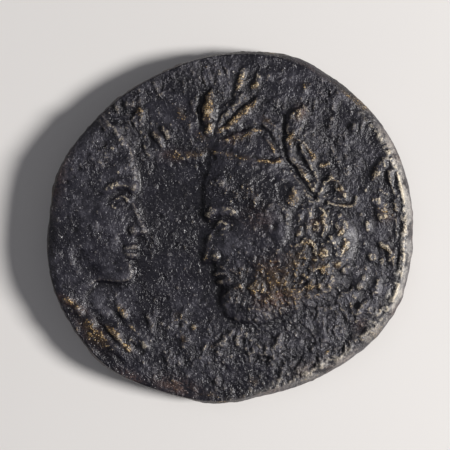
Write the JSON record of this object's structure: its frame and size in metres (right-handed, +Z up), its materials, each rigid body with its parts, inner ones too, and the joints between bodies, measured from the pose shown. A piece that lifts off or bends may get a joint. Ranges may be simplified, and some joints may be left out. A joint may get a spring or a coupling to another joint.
{
  "type": "roman bronze coin",
  "caption": "Worn struck bronze coin lying flat: irregular flan, two facing heads in relief on top, a standing figure below.",
  "frame": {"origin": "middle of the coin's box in plan, on the plane that it rests on", "axes": "+Z up out of the obverse, through the coin's thickness; +Y towards the top of the heads; +X towards the back of the bearded head"},
  "size_m": [0.031, 0.0298, 0.0037],
  "materials": {
    "bronze": "dark grey-black patina over worn bronze, golden brown where it is rubbed"
  },
  "bodies": {
    "root": {"coin": "bronze"}
  },
  "joints": []
}
